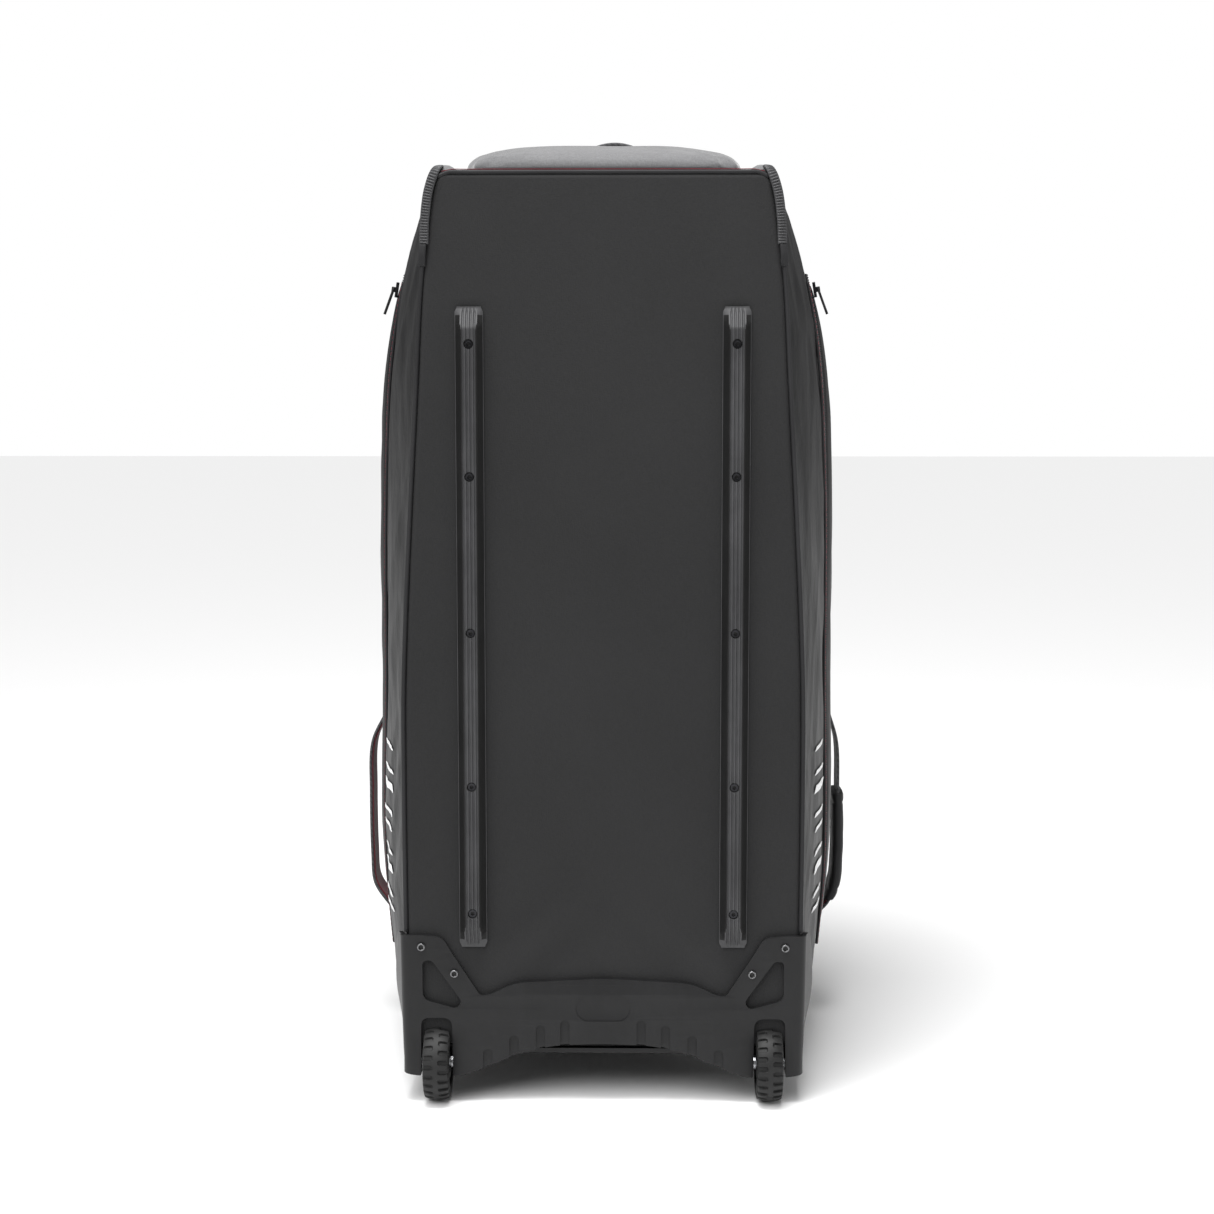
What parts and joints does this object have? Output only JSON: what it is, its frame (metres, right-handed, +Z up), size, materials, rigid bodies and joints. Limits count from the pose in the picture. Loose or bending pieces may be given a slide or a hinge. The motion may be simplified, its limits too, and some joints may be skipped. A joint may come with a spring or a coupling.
{
  "type": "wheeled equipment bag",
  "caption": "Tall soft equipment bag with a stiff back, ribbed skid rails and a moulded wheeled base, side pockets, end flaps and a zipped front lid.",
  "frame": {"origin": "on the floor, under the middle of the bag's box", "axes": "+Z up with the bag standing on its wheels and front feet; the stiff back, rails and wheels face -Y and the lid faces +Y; +X is to the right of someone who looks at the back"},
  "size_m": [0.5072, 0.3984, 0.921],
  "materials": {
    "woven_fabric": "stiff coated weave, matte",
    "tarpaulin": "smooth coated tarpaulin, semi-gloss",
    "moulded_base": "fine moulded grain",
    "rail_plastic": "ribbed moulding, satin",
    "board": "plain board, inside the bag",
    "tyre_rubber": "knobby tread, matte",
    "wheel_hub": "moulded",
    "steel": "zinc plated",
    "black_screw": "black oxide",
    "zip": "coil zip, moulded sliders",
    "pull_rubber": "moulded pull",
    "webbing": "ribbed webbing, lined"
  },
  "bodies": {
    "bag": {"back_panel": "woven_fabric", "top_panel": "woven_fabric", "top_pocket": "woven_fabric", "bottom_panel": "woven_fabric", "front_header": "woven_fabric", "front_sill": "woven_fabric", "side_panel_left": "tarpaulin", "side_panel_right": "tarpaulin", "side_pocket_left": "tarpaulin", "side_pocket_right": "tarpaulin", "base_shell": "moulded_base", "base_tray": "moulded_base", "rail_left": "rail_plastic", "rail_right": "rail_plastic", "back_board": "board", "axle_left": "steel", "axle_right": "steel", "base_screw_left_1": "steel", "base_screw_left_2": "steel", "base_screw_right_1": "steel", "base_screw_right_2": "steel", "rail_screw_left_1": "black_screw", "rail_screw_left_2": "black_screw", "rail_screw_left_3": "black_screw", "rail_screw_left_4": "black_screw", "rail_screw_left_5": "black_screw", "rail_screw_right_1": "black_screw", "rail_screw_right_2": "black_screw", "rail_screw_right_3": "black_screw", "rail_screw_right_4": "black_screw", "rail_screw_right_5": "black_screw", "side_zip_left": "zip", "side_zip_right": "zip", "haul_strap_left": "webbing", "haul_strap_right": "webbing", "grip_wrap": "webbing", "top_handle": "webbing"},
    "wheel_left": {"tyre_left": "tyre_rubber", "hub_left": "wheel_hub", "bearing_left": "steel"},
    "wheel_right": {"tyre_right": "tyre_rubber", "hub_right": "wheel_hub", "bearing_right": "steel"},
    "lid": {"lid": "woven_fabric", "lid_zip": "zip"},
    "flap_left": {"side_flap_left": "tarpaulin", "flap_zip_left": "zip"},
    "flap_right": {"side_flap_right": "tarpaulin", "flap_zip_right": "zip"},
    "side_left_slider": {"side_left_slider": "zip"},
    "side_left_pull": {"side_left_pull": "pull_rubber"},
    "side_right_slider": {"side_right_slider": "zip"},
    "side_right_pull": {"side_right_pull": "pull_rubber"},
    "flap_left_slider": {"flap_left_slider": "zip"},
    "flap_left_pull": {"flap_left_pull": "pull_rubber"},
    "flap_right_slider": {"flap_right_slider": "zip"},
    "flap_right_pull": {"flap_right_pull": "pull_rubber"},
    "lid_slider": {"lid_slider": "zip"},
    "lid_pull": {"lid_pull": "pull_rubber"}
  },
  "joints": [
    {"name": "wheel_left_spin", "type": "hinge", "parent": "bag", "child": "wheel_left", "pos_m": [-0.157, -0.1632, 0.036], "axis": [1, 0, 0], "continuous": true},
    {"name": "wheel_right_spin", "type": "hinge", "parent": "bag", "child": "wheel_right", "pos_m": [0.157, -0.1632, 0.036], "axis": [1, 0, 0], "continuous": true},
    {"name": "lid_hinge", "type": "hinge", "parent": "bag", "child": "lid", "pos_m": [-0.1405, 0.1913, 0.4645], "axis": [0, 0, 1], "range_deg": [0, 150]},
    {"name": "flap_left_hinge", "type": "hinge", "parent": "bag", "child": "flap_left", "pos_m": [-0.1973, 0.0088, 0.789], "axis": [0, -1, 0], "range_deg": [0, 100]},
    {"name": "flap_right_hinge", "type": "hinge", "parent": "bag", "child": "flap_right", "pos_m": [0.1973, 0.0088, 0.789], "axis": [0, 1, 0], "range_deg": [0, 100]},
    {"name": "side_left_slider_run", "type": "slide", "parent": "bag", "child": "side_left_slider", "axis": [-0.1595, 0, -0.9872], "range_m": [0, 0.078]},
    {"name": "side_left_pull_swing", "type": "hinge", "parent": "side_left_slider", "child": "side_left_pull", "pos_m": [-0.20914, -0.0102, 0.76873], "axis": [0, 1, 0], "range_deg": [-11, 100]},
    {"name": "side_right_slider_run", "type": "slide", "parent": "bag", "child": "side_right_slider", "axis": [0.1595, 0, -0.9872], "range_m": [0, 0.078]},
    {"name": "side_right_pull_swing", "type": "hinge", "parent": "side_right_slider", "child": "side_right_pull", "pos_m": [0.20914, -0.0102, 0.76873], "axis": [0, -1, 0], "range_deg": [-11, 100]},
    {"name": "flap_left_slider_run", "type": "slide", "parent": "flap_left", "child": "flap_left_slider", "axis": [0, -1, 0], "range_m": [0, 0.22]},
    {"name": "flap_left_pull_swing", "type": "hinge", "parent": "flap_left_slider", "child": "flap_left_pull", "pos_m": [-0.147, 0.1088, 0.8783], "axis": [1, 0, 0], "range_deg": [0, 150]},
    {"name": "flap_right_slider_run", "type": "slide", "parent": "flap_right", "child": "flap_right_slider", "axis": [0, -1, 0], "range_m": [0, 0.22]},
    {"name": "flap_right_pull_swing", "type": "hinge", "parent": "flap_right_slider", "child": "flap_right_pull", "pos_m": [0.147, 0.1088, 0.8783], "axis": [1, 0, 0], "range_deg": [0, 150]},
    {"name": "lid_slider_run", "type": "slide", "parent": "lid", "child": "lid_slider", "axis": [0, 0, 1], "range_m": [0, 0.64]},
    {"name": "lid_pull_swing", "type": "hinge", "parent": "lid_slider", "child": "lid_pull", "pos_m": [0.137, 0.1974, 0.15], "axis": [1, 0, 0], "range_deg": [0, 150]}
  ]
}
